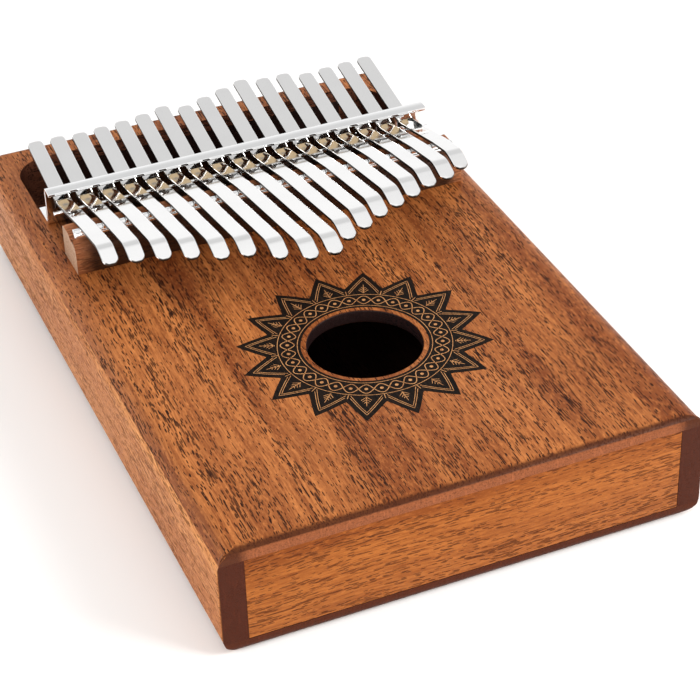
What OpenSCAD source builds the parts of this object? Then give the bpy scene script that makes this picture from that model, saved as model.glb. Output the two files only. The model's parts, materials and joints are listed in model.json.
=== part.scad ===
// Box mbira: a hollow wooden body with seventeen spring-steel tines held by a slotted clamp bracket.
// Millimetres. Origin: centre of the underside. +Y points to the clamped rear end, +Z up.

/* [Body] */
// Width of the body, side to side
body_w = 134; // [130:1:138]
// Length of the body, thumb end to rear end
body_l = 209; // [205:1:220]
// Height of the body
body_h = 33; // [31:1:40]
// Thickness of the top and bottom boards
board_t = 4; // [3.5:0.5:5]
// Thickness of the long side panels
side_t = 7; // [5:0.5:7]
// Thickness of the front and back panels
end_t = 9; // [6:0.5:9]
// Radius of the rounded long edges
long_edge_r = 7; // [3:0.5:7]
// Radius of the rounded short edges
short_edge_r = 3; // [2:0.5:3.5]
// Radius of the two rear corners, seen from above
rear_corner_plan_r = 4; // [2:0.5:6]

/* [Sound hole] */
// Radius of the sound hole
hole_r = 15.7; // [12:0.1:18]
// Distance from the thumb end to the middle of the sound hole
hole_from_front = 65.4; // [55:0.1:70]

/* [Rear pocket] */
// Length of the pocket under the rear ends of the tines
pocket_l = 30; // [26:1:32]
// Depth of the pocket below the top surface
pocket_d = 16; // [10:1:22]
// Radius of the pocket's two rear corners
pocket_r = 11; // [4:1:14]

/* [Bridge] */
// Distance from the middle of the body back to the bridge rod
rod_y = 31; // [29:0.5:33]
// Radius of the bridge rod
rod_r = 1.7; // [1.5:0.1:1.8]
// Height of the bridge's top land above the body
bridge_h = 10; // [9.5:0.1:10.2]
// Depth of the bridge, front to back
bridge_l = 12.6; // [12:0.1:14]
// Length of the bridge, bracket and their rods, side to side
clamp_w = 120; // [118:1:124]

/* [Bracket] */
// Distance from the middle of the body back to the bracket's upright web
web_y = 56.1; // [55:0.1:57]
// Thickness of the bracket's sheet
sheet_t = 1; // [0.8:0.1:1.2]
// Height of the bracket above the body
bracket_h = 13; // [12.5:0.1:14]
// Depth of the bracket's front lip
lip_l = 5; // [4:0.1:6]
// Depth of the bracket's rear flange
flange_l = 8.7; // [8:0.1:9]

/* [Tines] */
// Distance between the centre lines of neighbouring tines
pitch = 6.85; // [6.6:0.05:6.9]
// Width of a tine
tine_w = 4.7; // [4.2:0.1:4.9]
// Thickness of a tine
tine_t = 1; // [0.8:0.1:1.1]
// Rise of the tines in front of the bridge rod, in degrees
front_rise = 10; // [9:0.5:11]
// Rise of the tines from the bracket to the bridge rod, in degrees
mid_rise = 13; // [12:0.5:14]
// Rise of the tines behind the bracket, in degrees
rear_rise = 11.5; // [10:0.5:12]
// Angle of the bent thumb end below the horizontal, in degrees
tip_drop = 22; // [12:1:24]

/* [Hidden] */
$fn = 64;
TINES = 17;
EPS = 0.01;
// Reach of each tine in front of the bridge rod, left to right; the middle one is the lowest note
reach = [23.5, 26, 29, 33, 38, 40.5, 47, 52, 52.5, 45.5, 41, 36, 32, 28, 24, 21.5, 16.5];
// Length of each tine behind the bracket's web, left to right
rear_reach = [27.5, 27.5, 27, 27.5, 28, 29, 30.5, 28.5, 30.5, 32.5, 34.5, 33, 33, 31, 31.5, 32, 32.5];

front_y = -body_l / 2;
back_y = body_l / 2;
inner_w = body_w - 2 * side_t;
under_z = body_h - board_t;
hole_y = front_y + hole_from_front;
pocket_back_y = back_y - end_t;
pocket_front_y = pocket_back_y - pocket_l;
pocket_z = body_h - pocket_d;
block_front_y = 50;

// Height of the bridge rod's centre above the body, and a small running gap against the steel
rod_h = bridge_h + 0.4;
touch = 0.01;
// The joint of a tine's blade lies this far in front of its line of contact with the rod
hinge_lead = 0.8;
hinge_gap = 0.1;
blade_bend_r = 7;
blade_end_l = 5;
web_bend_r = 18;
tip_corner_r = 2.3;
rear_corner_r = 1.7;

// The thin rest rod under the tines, in front of the bracket
rest_rod_r = 0.65;
rest_rod_y = 50;
rest_rod_over = 2.35;

// Slots in the web and the rear sill behind it
slot_w = tine_w + 0.5;
sill_l = 6;
sill_w = 114;
screw_r = 1.45;
screw_l = 20;
screw_head_r = 2.6;
screw_head_l = 1.6;
screw_top_h = 6.5;
screw_y = 60.1;
screw_slots = [-6.5, -2.5, 2.5, 6.5];
tongue_tines = [3, 9, 15];
tongue_w = 3.6;
tongue_t = 0.9;
tongue_over = 1.2;

// ---------- paths in the (y, z) plane: each step is [[y, z], heading in degrees] ----------

function moved(p, a, s) = [p[0] + s * cos(a), p[1] + s * sin(a)];

// Steps along an arc that starts at p with heading a0 and turns by turn degrees (left is positive)
function arc_steps(p, a0, turn, r, n) =
    let (s = sign(turn))
    [for (i = [1:n]) let (a = a0 + turn * i / n)
        [[p[0] + s * r * (sin(a) - sin(a0)), p[1] + s * r * (cos(a0) - cos(a))], a]];

// The point at a distance d to the left of a step
function beside(step, d) = [step[0][0] - d * sin(step[1]), step[0][1] + d * cos(step[1])];

// Outline of a strip of thickness t whose centre line follows the steps
function strip(steps, t) = concat(
    [for (s = steps) beside(s, -t / 2)],
    [for (i = [len(steps) - 1:-1:0]) beside(steps[i], t / 2)]
);

// Centre line of a tine where it lies on the bridge rod, heading backwards and down
contact = beside([[rod_y, body_h + rod_h], -mid_rise], rod_r + tine_t / 2 + touch);
hinge_pt = moved(contact, -mid_rise, -hinge_lead);

// Where the middle and rear slopes would cross, in the web's slots
cross_s = (web_y - contact[0]) / cos(mid_rise);
cross_pt = moved(contact, -mid_rise, cross_s);
bend_cut = web_bend_r * tan((mid_rise + rear_rise) / 2);
bend_start = moved(cross_pt, -mid_rise, -bend_cut);
bend_steps = arc_steps(bend_start, -mid_rise, mid_rise + rear_rise, web_bend_r, 10);
bend_end = bend_steps[9][0];

function heel_steps(i) = concat(
    [[moved(hinge_pt, -mid_rise, hinge_gap / 2), -mid_rise], [bend_start, -mid_rise]],
    bend_steps,
    [[moved(bend_end, rear_rise, (rear_reach[i - 1] - bend_cut) / cos(rear_rise)), rear_rise]]
);

// The blade is walked forwards from the joint: headings point to the thumb end
blade_turn = front_rise + tip_drop;
blade_arc_dy = blade_bend_r * (sin(front_rise) + sin(tip_drop));
function blade_straight(i) =
    (reach[i - 1] - (rod_y - hinge_pt[0]) - blade_arc_dy - blade_end_l * cos(tip_drop)) / cos(front_rise);
function blade_steps(i) =
    let (start = moved(hinge_pt, -front_rise, -hinge_gap / 2))
    let (bend = moved(start, 180 - front_rise, blade_straight(i)))
    let (arc = arc_steps(bend, 180 - front_rise, blade_turn, blade_bend_r, 8))
    concat(
        [[start, 180 - front_rise], [bend, 180 - front_rise]],
        arc,
        [[moved(arc[7][0], 180 + tip_drop, blade_end_l), 180 + tip_drop]]
    );

function tine_x(i) = (i - (TINES + 1) / 2) * pitch;

// The point at a depth d below the tines' straight centre line, between the bracket and the bridge
function under_tines(y, d) =
    beside([moved(contact, -mid_rise, (y - contact[0]) / cos(mid_rise)), -mid_rise], -d);

// Top of the tines at the web, where the slots press on them
press_h = bend_steps[4][0][1] + tine_t / 2 + 0.03 - body_h;
slot_low_h = press_h - 2.35;

// ---------- shapes ----------

// A profile drawn in (y, z), extruded w wide and centred on x
module across(w) {
    rotate([90, 0, 90])
        translate([0, 0, -w / 2])
            linear_extrude(w)
                children();
}

// A rectangle with rounded corners, its lower left corner at the origin
module rounded_rect(w, h, r) {
    translate([r, 0]) square([w - 2 * r, h]);
    translate([0, r]) square([w, h - 2 * r]);
    for (x = [r, w - r], y = [r, h - r])
        translate([x, y]) circle(r);
}

// The body seen from above: square at the thumb end, two round rear corners
module body_plan() {
    r = rear_corner_plan_r;
    translate([-body_w / 2, front_y]) square([body_w, body_l - r]);
    translate([-body_w / 2 + r, front_y]) square([body_w - 2 * r, body_l]);
    for (x = [-1, 1])
        translate([x * (body_w / 2 - r), back_y - r]) circle(r);
}

// The whole outside of the body: every board is cut from it, so their edges line up
module body_shape() {
    intersection() {
        rotate([90, 0, 0])
            translate([-body_w / 2, 0, -body_l / 2])
                linear_extrude(body_l)
                    rounded_rect(body_w, body_h, long_edge_r);
        across(body_w)
            translate([front_y, 0])
                rounded_rect(body_l, body_h, short_edge_r);
        linear_extrude(body_h) body_plan();
    }
}

module body_slab(low_z, high_z) {
    intersection() {
        body_shape();
        translate([-body_w, front_y - 1, low_z])
            cube([2 * body_w, body_l + 2, high_z - low_z]);
    }
}

// The pocket's plan: square at the bracket, with two round rear corners
module pocket_plan() {
    w = inner_w;
    translate([-w / 2, pocket_front_y]) square([w, pocket_l - pocket_r]);
    translate([-w / 2 + pocket_r, pocket_front_y]) square([w - 2 * pocket_r, pocket_l]);
    for (x = [-1, 1])
        translate([x * (w / 2 - pocket_r), pocket_back_y - pocket_r]) circle(pocket_r);
}

module pocket_cut(low_z) {
    translate([0, 0, low_z])
        linear_extrude(body_h + 1 - low_z)
            pocket_plan();
}

module screw_holes(r, low_z, high_z) {
    for (s = screw_slots)
        translate([s * pitch, screw_y, low_z])
            cylinder(r = r, h = high_z - low_z);
}

module top_board() {
    color([0.69, 0.43, 0.25])
        difference() {
            body_slab(under_z, body_h);
            translate([0, hole_y, under_z - 1]) cylinder(r = hole_r, h = board_t + 2, $fn = 96);
            pocket_cut(under_z - 1);
            screw_holes(screw_r, under_z - 1, body_h + 1);
        }
}

module bottom_board() {
    color([0.55, 0.32, 0.18]) body_slab(0, board_t);
}

module side_panel(side) {
    color([0.64, 0.39, 0.22])
        intersection() {
            body_slab(board_t, under_z);
            translate([side > 0 ? inner_w / 2 : -body_w / 2, front_y, 0])
                cube([side_t, body_l, body_h]);
        }
}

module end_panel(y) {
    color([0.78, 0.51, 0.29])
        translate([-inner_w / 2, y, board_t])
            cube([inner_w, end_t, under_z - board_t]);
}

// Solid block under the bracket: takes the screws and holds the floor of the pocket
module clamp_block() {
    color([0.6, 0.38, 0.22])
        difference() {
            translate([-inner_w / 2, block_front_y, board_t])
                cube([inner_w, pocket_back_y - block_front_y, under_z - board_t]);
            pocket_cut(pocket_z);
            screw_holes(screw_r, body_h + screw_top_h - screw_l, under_z + 1);
        }
}

// Section of the bridge: flat land, groove for the rod, rounded front
module bridge_section() {
    front = rod_y - 4.5;
    round_r = 4.2;
    difference() {
        translate([front, 0]) square([bridge_l, bridge_h]);
        difference() {
            translate([front - 1, bridge_h - round_r]) square([round_r + 1, round_r + 1]);
            translate([front + round_r, bridge_h - round_r]) circle(round_r);
        }
        translate([rod_y, rod_h]) circle(rod_r);
        translate([front + bridge_l - 0.8, bridge_h]) rotate(-45) square([2, 2]);
    }
}

module bridge() {
    color([0.72, 0.48, 0.33])
        translate([0, 0, body_h])
            across(clamp_w)
                bridge_section();
}

module bridge_rod() {
    color([0.85, 0.86, 0.88])
        translate([-clamp_w / 2 + 1, rod_y, body_h + rod_h])
            rotate([0, 90, 0])
                cylinder(r = rod_r, h = clamp_w - 2);
}

// Section of the bracket: rear flange, upright web, round top bend, front lip
module bracket_section() {
    bend_r = 2;
    back = web_y + sheet_t / 2;
    top = bracket_h;
    lip_drop = 0.5;
    translate([back - sheet_t, 0]) square([sheet_t, top - bend_r]);
    translate([back - sheet_t, 0]) square([flange_l + sheet_t, sheet_t]);
    intersection() {
        difference() {
            translate([back - bend_r, top - bend_r]) circle(bend_r);
            translate([back - bend_r, top - bend_r]) circle(bend_r - sheet_t);
        }
        translate([back - bend_r, top - bend_r]) square([bend_r, bend_r]);
    }
    polygon([
        [back - bend_r, top - sheet_t], [back - bend_r, top],
        [back - lip_l + 1, top - lip_drop], [back - lip_l, top - lip_drop - 0.5],
        [back - lip_l, top - lip_drop - 1.3], [back - lip_l + 0.6, top - lip_drop - 1.3]
    ]);
}

// The tongue starts in the web's thickness and runs forwards, just under the rest rod
module bracket_tongue() {
    start = web_y;
    end = rest_rod_y - tongue_over;
    top_d = tine_t / 2 + 2 * rest_rod_r + 0.1;
    low_d = top_d + tongue_t;
    polygon([
        under_tines(start, top_d), under_tines(end, top_d),
        under_tines(end, low_d), under_tines(start, low_d)
    ]);
}

module bracket() {
    color([0.8, 0.81, 0.84])
        difference() {
            union() {
                translate([0, 0, body_h]) across(clamp_w) bracket_section();
                for (i = tongue_tines)
                    translate([tine_x(i), 0, 0]) across(tongue_w) bracket_tongue();
            }
            for (i = [1:TINES])
                translate([tine_x(i) - slot_w / 2, web_y - sheet_t, body_h + slot_low_h])
                    cube([slot_w, 2 * sheet_t, press_h - slot_low_h]);
            screw_holes(screw_r, body_h - 1, body_h + 2);
        }
}

// The thin rod touches the underside of every tine and lies on the bracket's tongues
module rest_rod() {
    at = under_tines(rest_rod_y, tine_t / 2 + rest_rod_r + touch);
    half = tine_x(TINES) + tine_w / 2 + rest_rod_over;
    color([0.75, 0.76, 0.78])
        translate([-half, at[0], at[1]])
            rotate([0, 90, 0])
                cylinder(r = rest_rod_r, h = 2 * half, $fn = 32);
}

// Hardwood strip behind the web: the tines bear on its rounded top
module rear_sill() {
    start = web_y + sheet_t / 2;
    bear_y = start + 4;
    bear_s = (bear_y - bend_end[0]) / cos(rear_rise);
    under = beside([moved(bend_end, rear_rise, bear_s), rear_rise], -tine_t / 2 - touch);
    crown_r = 6;
    crown = beside([under, rear_rise], -crown_r);
    color([0.45, 0.28, 0.17])
        difference() {
            intersection() {
                across(sill_w)
                    translate([start, body_h + sheet_t]) square([sill_l, bracket_h]);
                across(sill_w)
                    translate(crown) circle(crown_r);
            }
            screw_holes(screw_r, body_h, body_h + bracket_h);
            screw_holes(screw_head_r + 0.1, body_h + screw_top_h - screw_head_l, body_h + bracket_h);
        }
}

module bracket_screws() {
    top = body_h + screw_top_h;
    color([0.6, 0.61, 0.63])
        for (s = screw_slots)
            translate([s * pitch, screw_y, top])
                difference() {
                    union() {
                        translate([0, 0, -screw_head_l]) cylinder(r = screw_head_r, h = screw_head_l);
                        translate([0, 0, -screw_l + 1]) cylinder(r = screw_r, h = screw_l - 1 - screw_head_l);
                    }
                    translate([-0.4, -2 * screw_head_r, -0.7]) cube([0.8, 4 * screw_head_r, 1]);
                }
}

// A strip seen from above, from y0 to y1, with rounded corners at the outer end
module strip_plan(y0, y1, r) {
    w = tine_w;
    s = sign(y1 - y0);
    inner = y1 - s * r;
    translate([-w / 2, min(y0, inner)]) square([w, abs(inner - y0)]);
    translate([-w / 2 + r, min(y0, y1)]) square([w - 2 * r, abs(y1 - y0)]);
    for (x = [-1, 1])
        translate([x * (w / 2 - r), inner]) circle(r);
}

module tine_part(i, steps, end_y, r) {
    color([0.86, 0.87, 0.89])
        translate([tine_x(i), 0, 0])
            intersection() {
                across(2 * tine_w) polygon(strip(steps, tine_t));
                translate([0, 0, body_h])
                    linear_extrude(30)
                        strip_plan(hinge_pt[0] + (end_y > hinge_pt[0] ? -1 : 1), end_y, r);
            }
}

// The clamped rear length of a tine
module tine_heel(i) {
    tine_part(i, heel_steps(i), web_y + rear_reach[i - 1], rear_corner_r);
}

// The free front length of a tine, which the thumb plucks
module tine_blade(i) {
    tine_part(i, blade_steps(i), rod_y - reach[i - 1], tip_corner_r);
}

top_board();
bottom_board();
side_panel(-1);  // left_side
side_panel(1);  // right_side
end_panel(front_y);  // front_panel
end_panel(back_y - end_t);  // back_panel
clamp_block();
bridge();
bridge_rod();
bracket();
rest_rod();
rear_sill();
bracket_screws();
for (i = [1:TINES])
    tine_heel(i);
for (i = [1:TINES])
    tine_blade(i);
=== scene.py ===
"""A box mbira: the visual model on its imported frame. Lengths are millimetres, and MM makes them metres."""
import json
import math

import bmesh
import bpy
from mathutils import Matrix, Vector


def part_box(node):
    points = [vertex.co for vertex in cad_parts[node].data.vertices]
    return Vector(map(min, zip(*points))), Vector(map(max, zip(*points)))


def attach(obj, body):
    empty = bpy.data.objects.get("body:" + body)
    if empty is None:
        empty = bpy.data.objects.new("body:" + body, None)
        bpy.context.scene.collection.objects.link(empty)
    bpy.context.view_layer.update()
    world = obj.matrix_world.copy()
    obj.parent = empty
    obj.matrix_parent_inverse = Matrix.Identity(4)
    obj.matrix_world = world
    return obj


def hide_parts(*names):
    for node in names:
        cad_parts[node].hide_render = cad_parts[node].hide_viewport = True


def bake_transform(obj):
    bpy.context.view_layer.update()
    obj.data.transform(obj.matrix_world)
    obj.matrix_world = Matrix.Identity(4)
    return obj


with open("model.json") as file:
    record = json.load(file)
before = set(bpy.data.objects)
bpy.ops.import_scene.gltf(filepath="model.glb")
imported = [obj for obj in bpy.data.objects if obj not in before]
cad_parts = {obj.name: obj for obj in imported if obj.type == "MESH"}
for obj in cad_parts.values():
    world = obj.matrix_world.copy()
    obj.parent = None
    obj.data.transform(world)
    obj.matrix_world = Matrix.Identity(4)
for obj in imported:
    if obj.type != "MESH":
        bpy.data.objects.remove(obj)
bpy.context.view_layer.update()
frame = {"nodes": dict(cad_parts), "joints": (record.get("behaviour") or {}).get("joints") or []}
MM = 0.001


# ---------- sizes, worked out from the frame ----------

def node_box(name):
    """Lowest and highest corner of a CAD node, in millimetres."""
    low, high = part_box(name)
    return low / MM, high / MM


TOP_LOW, TOP_HIGH = node_box("top_board")
LEFT_LOW = node_box("left_side")[0]
PANEL_LOW, PANEL_HIGH = node_box("front_panel")
BACK_LOW = node_box("back_panel")[0]
BLOCK_LOW, BLOCK_HIGH = node_box("clamp_block")
BRIDGE_LOW, BRIDGE_HIGH = node_box("bridge")
ROD_LOW, ROD_HIGH = node_box("bridge_rod")
REST_LOW, REST_HIGH = node_box("rest_rod")
BRACKET_HIGH = node_box("bracket")[1]
SILL_LOW, SILL_HIGH = node_box("rear_sill")
JOINTS = {joint["name"]: [c / MM for c in joint["pos_m"]] for joint in frame["joints"]}
TINES = len(JOINTS)

BODY_TOP = TOP_HIGH.z
FRONT_Y = TOP_LOW.y
BACK_Y = TOP_HIGH.y
HALF_W = -LEFT_LOW.x
INNER_HALF_W = PANEL_HIGH.x

# The same design values as the CAD part
LONG_EDGE_R = 7.0
SHORT_EDGE_R = 3.0
CORNER_R = 0.9
PANEL_EDGE = 0.25
REAR_CORNER_R = 4.0
HOLE_R = 15.7
HOLE_FROM_FRONT = 65.4
POCKET_L = 30.0
POCKET_R = 11.0
POCKET_DEPTH = 16.0
SHEET_T = 1.0
TINE_W = 4.7
TINE_T = 1.0
FRONT_RISE = math.radians(10.0)
MID_RISE = math.radians(13.0)
REAR_RISE = math.radians(11.5)
TIP_DROP = math.radians(22.0)
WEB_BEND_R = 18.0
BLADE_BEND_R = 7.0
BLADE_END_L = 5.0
TIP_R = 2.3
HEEL_R = 1.7
LIP_L = 5.0
SLOT_H = 2.35
SLOT_PLAY = 0.5
ROD_Y, ROD_Z = (ROD_LOW.y + ROD_HIGH.y) / 2, (ROD_LOW.z + ROD_HIGH.z) / 2
ROD_R = (ROD_HIGH.z - ROD_LOW.z) / 2

HOLE_Y = FRONT_Y + HOLE_FROM_FRONT
POCKET_FRONT_Y = BACK_LOW.y - POCKET_L
POCKET_FLOOR_Z = BODY_TOP - POCKET_DEPTH

# Where the web stands, where the tines bend in its slots, and the slots round them
WEB_Y = SILL_LOW.y - SHEET_T / 2
LIP_Y = WEB_Y + SHEET_T / 2 - LIP_L
HINGE_Y, HINGE_Z = JOINTS["tine_1_flex"][1:3]
CROSS_Z = HINGE_Z - (WEB_Y - HINGE_Y) * math.tan(MID_RISE)
BEND_CUT = WEB_BEND_R * math.tan((MID_RISE + REAR_RISE) / 2)
BEND_LIFT = WEB_BEND_R * (1 / math.cos((MID_RISE + REAR_RISE) / 2) - 1)
SLOT_HIGH_Z = CROSS_Z + BEND_LIFT + TINE_T / 2 + 0.05
SLOT_LOW_Z = SLOT_HIGH_Z - SLOT_H
SLOT_HALF_W = (TINE_W + SLOT_PLAY) / 2


# ---------- mesh helpers ----------

def add_object(name, data):
    """A new object in the scene."""
    obj = bpy.data.objects.new(name, data)
    bpy.context.scene.collection.objects.link(obj)
    return obj


def mesh_object(name, verts, faces, smooth_deg=35.0):
    """A mesh object from points in millimetres, shaded smooth up to an angle."""
    mesh = bpy.data.meshes.new(name)
    mesh.from_pydata([(x * MM, y * MM, z * MM) for x, y, z in verts], [], faces)
    obj = add_object(name, mesh)
    tidy_mesh(obj, smooth_deg)
    return obj


def tidy_mesh(obj, smooth_deg=35.0):
    """Outward normals, and smooth shading with sharp edges kept."""
    work = bmesh.new()
    work.from_mesh(obj.data)
    bmesh.ops.remove_doubles(work, verts=work.verts, dist=1e-7)
    bmesh.ops.recalc_face_normals(work, faces=work.faces)
    work.to_mesh(obj.data)
    work.free()
    obj.data.shade_smooth()
    obj.data.set_sharp_from_angle(angle=math.radians(smooth_deg))


def apply_modifiers(obj):
    """Bakes an object's modifiers into its mesh."""
    graph = bpy.context.evaluated_depsgraph_get()
    mesh = bpy.data.meshes.new_from_object(obj.evaluated_get(graph))
    obj.modifiers.clear()
    obj.data = mesh


def bevel(obj, width, segments=2, angle_deg=40.0):
    """Softens an object's sharp edges by width millimetres."""
    modifier = obj.modifiers.new("soft_edges", "BEVEL")
    modifier.width = width * MM
    modifier.segments = segments
    modifier.limit_method = "ANGLE"
    modifier.angle_limit = math.radians(angle_deg)
    apply_modifiers(obj)
    tidy_mesh(obj)


def cut(obj, cutter):
    """Takes the cutter's shape out of the object and deletes the cutter."""
    modifier = obj.modifiers.new("cut", "BOOLEAN")
    modifier.operation = "DIFFERENCE"
    modifier.solver = "EXACT"
    modifier.object = cutter
    apply_modifiers(obj)
    bpy.data.objects.remove(cutter)
    tidy_mesh(obj)


def prism(name, outline, z_low, z_high):
    """A closed prism over an outline of (x, y) points."""
    n = len(outline)
    verts = [(x, y, z_low) for x, y in outline] + [(x, y, z_high) for x, y in outline]
    faces = [tuple(range(n - 1, -1, -1)), tuple(range(n, 2 * n))]
    faces += [(i, (i + 1) % n, n + (i + 1) % n, n + i) for i in range(n)]
    return mesh_object(name, verts, faces)


def arc_points(centre, radius, start_deg, end_deg, steps):
    """Points along an arc in a plane, both ends included."""
    points = []
    for k in range(steps + 1):
        a = math.radians(start_deg + (end_deg - start_deg) * k / steps)
        points.append((centre[0] + radius * math.cos(a), centre[1] + radius * math.sin(a)))
    return points


def extrude_x(name, section, half_length):
    """A closed bar along X with a section of (y, z) points."""
    n = len(section)
    verts = [(-half_length, y, z) for y, z in section] + [(half_length, y, z) for y, z in section]
    faces = [tuple(range(n)), tuple(range(2 * n - 1, n - 1, -1))]
    faces += [(i, n + i, n + (i + 1) % n, (i + 1) % n) for i in range(n)]
    return mesh_object(name, verts, faces)


def keep_side(work, point, normal):
    """Cuts a closed mesh with a plane, keeps what lies against the normal, and closes it."""
    geometry = work.verts[:] + work.edges[:] + work.faces[:]
    result = bmesh.ops.bisect_plane(
        work, geom=geometry, dist=1e-8, plane_co=point, plane_no=normal, clear_outer=True)
    rim = [e for e in result["geom_cut"] if isinstance(e, bmesh.types.BMEdge)]
    bmesh.ops.contextual_create(work, geom=rim)


# ---------- shader helpers ----------

class Shader:
    """A material's node tree, with short calls for the nodes used here."""

    def __init__(self, name):
        self.material = bpy.data.materials.new(name)
        self.material.use_nodes = True
        self.tree = self.material.node_tree
        self.nodes = self.tree.nodes
        self.bsdf = self.nodes["Principled BSDF"]

    def link(self, output, socket):
        self.tree.links.new(output, socket)

    def coordinates(self, scale, offset=(0.0, 0.0, 0.0)):
        """Object coordinates, with a scale per millimetre."""
        source = self.nodes.new("ShaderNodeTexCoord")
        mapping = self.nodes.new("ShaderNodeMapping")
        mapping.inputs["Scale"].default_value = [s / MM for s in scale]
        mapping.inputs["Location"].default_value = offset
        self.link(source.outputs["Object"], mapping.inputs["Vector"])
        return mapping.outputs["Vector"]

    def scaled(self, vector, scale, shift=0.0):
        """A coordinate with its own scale on each axis, and a shift."""
        node = self.nodes.new("ShaderNodeMapping")
        node.inputs["Scale"].default_value = scale
        node.inputs["Location"].default_value = (shift, shift * 0.7, shift * 1.3)
        self.link(vector, node.inputs["Vector"])
        return node.outputs["Vector"]

    def drifted(self, vector, axis):
        """A coordinate pushed a little to the side by a slow wave along the grain."""
        wave = self.noise(self.scaled(vector, along(axis, 0.010, 0.012)), 2.0)
        push = self.ramp(wave, 0.2, 0.8, -1.6, 1.6, smooth=False)
        side = self.nodes.new("ShaderNodeCombineXYZ")
        for k in range(3):
            if k != axis:
                self.link(push, side.inputs[k])
        total = self.nodes.new("ShaderNodeVectorMath")
        total.operation = "ADD"
        self.link(vector, total.inputs[0])
        self.link(side.outputs["Vector"], total.inputs[1])
        return total.outputs["Vector"]

    def normal(self):
        return self.nodes.new("ShaderNodeTexCoord").outputs["Normal"]

    def noise(self, vector, detail=3.0, roughness=0.55, distortion=0.0):
        node = self.nodes.new("ShaderNodeTexNoise")
        node.inputs["Scale"].default_value = 1.0
        node.inputs["Detail"].default_value = detail
        node.inputs["Roughness"].default_value = roughness
        node.inputs["Distortion"].default_value = distortion
        self.link(vector, node.inputs["Vector"])
        return node.outputs["Fac"]

    def cells(self, vector):
        node = self.nodes.new("ShaderNodeTexVoronoi")
        node.inputs["Scale"].default_value = 1.0
        self.link(vector, node.inputs["Vector"])
        return node.outputs["Distance"]

    def ramp(self, value, low, high, out_low=0.0, out_high=1.0, smooth=True):
        """Maps low..high to out_low..out_high, clamped."""
        node = self.nodes.new("ShaderNodeMapRange")
        node.interpolation_type = "SMOOTHSTEP" if smooth else "LINEAR"
        node.inputs["From Min"].default_value = low
        node.inputs["From Max"].default_value = high
        node.inputs["To Min"].default_value = out_low
        node.inputs["To Max"].default_value = out_high
        self.link(value, node.inputs["Value"])
        return node.outputs["Result"]

    def math(self, operation, a, b=None):
        node = self.nodes.new("ShaderNodeMath")
        node.operation = operation
        for socket, value in zip(node.inputs, (a, b)):
            if value is None:
                continue
            if isinstance(value, (int, float)):
                socket.default_value = value
            else:
                self.link(value, socket)
        return node.outputs["Value"]

    def mix(self, factor, a, b):
        """Colour a turning into colour b as the factor goes from 0 to 1."""
        node = self.nodes.new("ShaderNodeMix")
        node.data_type = "RGBA"
        self.link(factor, node.inputs[0])
        for socket, value in ((node.inputs[6], a), (node.inputs[7], b)):
            if isinstance(value, tuple):
                socket.default_value = (*value, 1.0)
            else:
                self.link(value, socket)
        return node.outputs[2]

    def bump(self, height, distance, strength):
        node = self.nodes.new("ShaderNodeBump")
        node.inputs["Distance"].default_value = distance * MM
        node.inputs["Strength"].default_value = strength
        self.link(height, node.inputs["Height"])
        return node.outputs["Normal"]


def srgb(r, g, b):
    """A colour given as 0-255 display values, as linear light."""
    def linear(c):
        c = c / 255.0
        return c / 12.92 if c <= 0.04045 else ((c + 0.055) / 1.055) ** 2.4
    return (linear(r), linear(g), linear(b))


def along(axis, fine, long):
    """A texture scale that is fine across the grain and long along it."""
    return tuple(long if k == axis else fine for k in range(3))


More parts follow.
